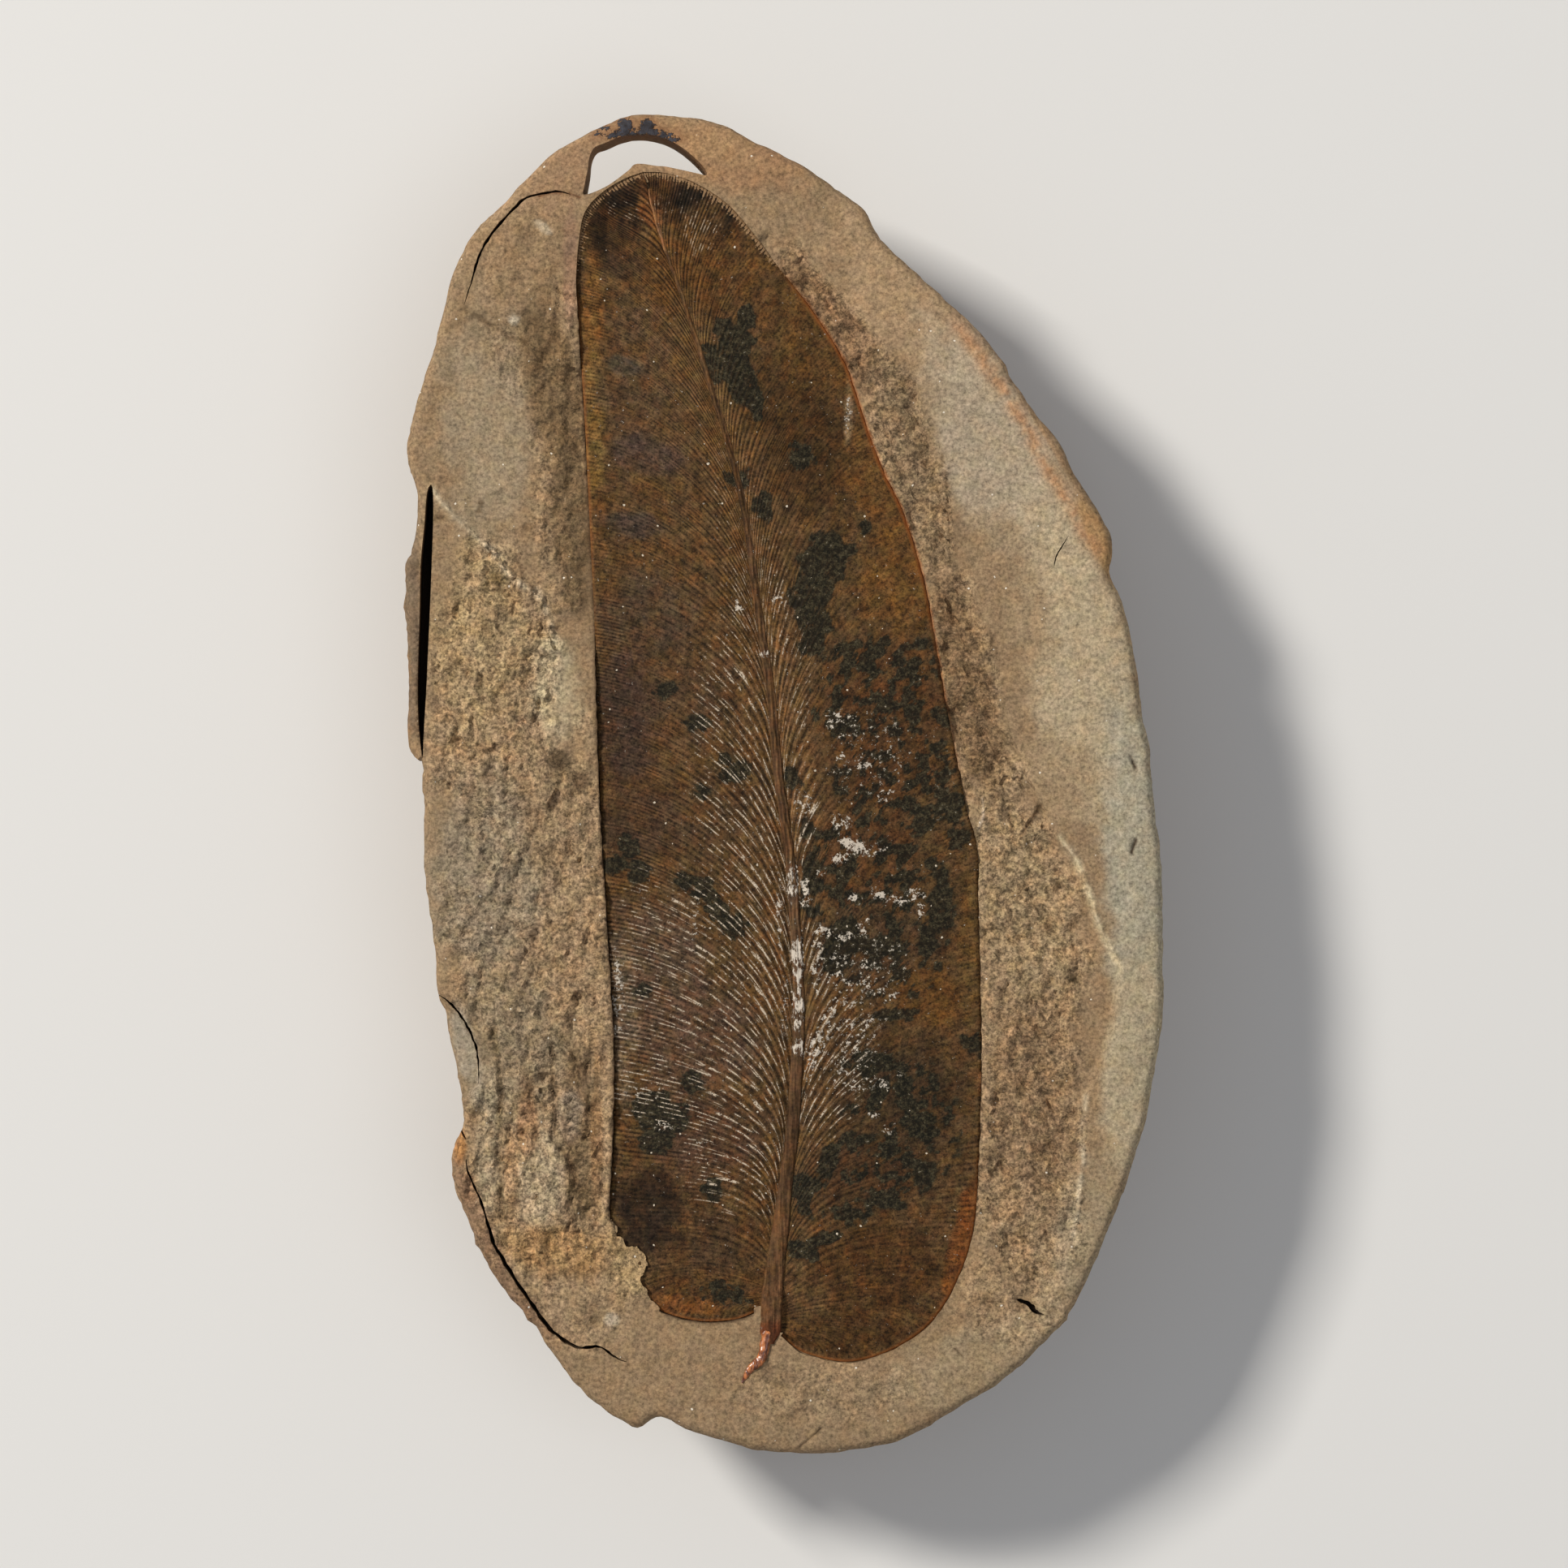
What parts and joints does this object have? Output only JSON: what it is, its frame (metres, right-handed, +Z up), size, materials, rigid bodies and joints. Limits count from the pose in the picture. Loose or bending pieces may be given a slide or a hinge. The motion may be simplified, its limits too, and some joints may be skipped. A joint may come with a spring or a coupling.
{
  "type": "fossil leaf plate",
  "caption": "Flat split face of a rounded ironstone nodule half with a pressed fossil leaf in low relief, lying on its domed back.",
  "frame": {"origin": "middle of the bounding box, on the surface that the nodule rests on", "axes": "+Y towards the leaf's tip, +X to the plate's right as seen from above, +Z up out of the split face"},
  "size_m": [0.0738, 0.1304, 0.0213],
  "materials": {
    "ironstone": "matt, gritty split stone, tan to grey",
    "leaf_film": "dark brown mineral film on the leaf impression, faint sheen"
  },
  "bodies": {
    "root": {"nodule": "ironstone"}
  },
  "joints": []
}
